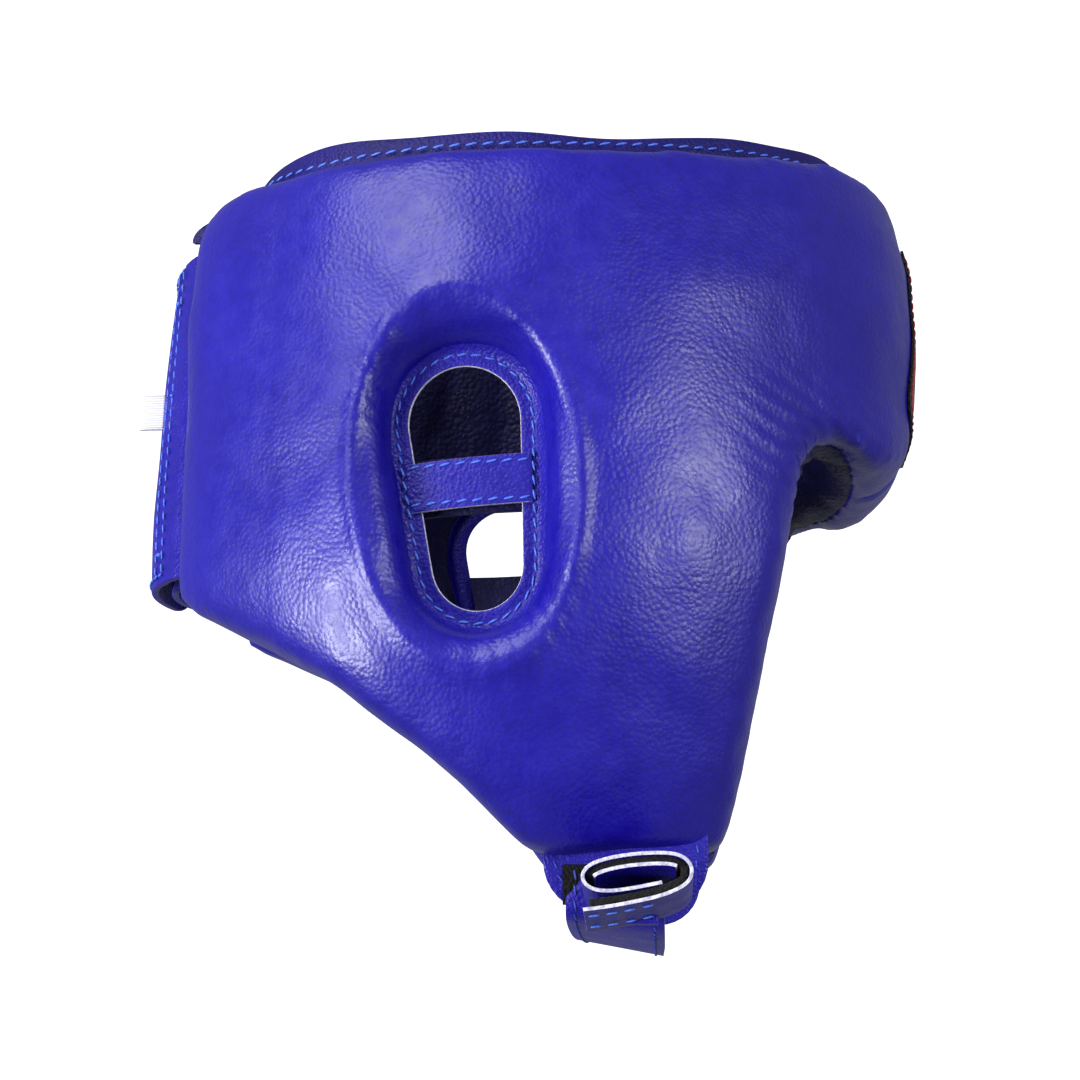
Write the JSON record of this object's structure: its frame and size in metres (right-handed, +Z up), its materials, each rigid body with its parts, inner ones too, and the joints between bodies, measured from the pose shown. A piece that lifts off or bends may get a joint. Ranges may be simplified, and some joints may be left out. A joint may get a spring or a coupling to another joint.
{
  "type": "boxing headgear",
  "caption": "Open-face padded leather boxing headgear with ear openings, crown collar, hook-and-loop rear flaps and a chin strap.",
  "frame": {"origin": "midway between the centres of the two ear openings, where the middle of the head sits", "axes": "+X forwards out of the forehead, +Y to the wearer's left, +Z up"},
  "size_m": [0.2473, 0.203, 0.2454],
  "materials": {
    "outer_leather": "smooth semi-gloss coated leather",
    "lining_leather": "dull dark blue lining leather",
    "firm_foam": "closed-cell firm foam",
    "soft_foam": "closed-cell soft foam",
    "hook_and_loop": "black hook-and-loop tape",
    "patch_black": "black coated leather",
    "patch_red": "red coated leather",
    "label_cloth": "white woven label"
  },
  "bodies": {
    "shell": {"cover_right": "outer_leather", "cover_left": "outer_leather", "ear_ring_right": "outer_leather", "ear_ring_left": "outer_leather", "ear_bar_right": "outer_leather", "ear_bar_left": "outer_leather", "chin_tab_right": "outer_leather", "chin_tab_left": "outer_leather", "strap_anchor": "outer_leather", "lining_right": "lining_leather", "lining_left": "lining_leather", "ear_bar_backing_right": "lining_leather", "ear_bar_backing_left": "lining_leather", "crown_collar_right": "lining_leather", "crown_collar_left": "lining_leather", "forehead_foam_outer": "firm_foam", "side_foam_outer_right": "firm_foam", "side_foam_outer_left": "firm_foam", "cheek_foam_right": "firm_foam", "cheek_foam_left": "firm_foam", "forehead_foam_inner": "soft_foam", "side_foam_inner_right": "soft_foam", "side_foam_inner_left": "soft_foam", "chin_loop_pad": "hook_and_loop", "forehead_patch": "patch_black", "forehead_patch_band": "patch_red"},
    "flap_outer": {"rear_flap_outer": "outer_leather", "rear_hook_pad": "hook_and_loop", "size_label": "label_cloth"},
    "flap_inner": {"rear_flap_inner": "outer_leather", "rear_loop_pad": "hook_and_loop"},
    "strap": {"chin_strap": "outer_leather", "strap_end_roll": "outer_leather", "strap_hook_tape": "hook_and_loop"}
  },
  "joints": [
    {"name": "outer_flap_open", "type": "hinge", "parent": "shell", "child": "flap_outer", "pos_m": [-0.0856, -0.0456, 0.036], "axis": [0, 0, 1], "range_deg": [0, 45]},
    {"name": "inner_flap_bend", "type": "hinge", "parent": "shell", "child": "flap_inner", "pos_m": [-0.0669, 0.0438, 0.036], "axis": [0, 0, 1], "range_deg": [0, 30]},
    {"name": "chin_strap_open", "type": "hinge", "parent": "shell", "child": "strap", "pos_m": [0.039, 0.0656, -0.114], "axis": [1, 0, 0], "range_deg": [0, 95]}
  ]
}
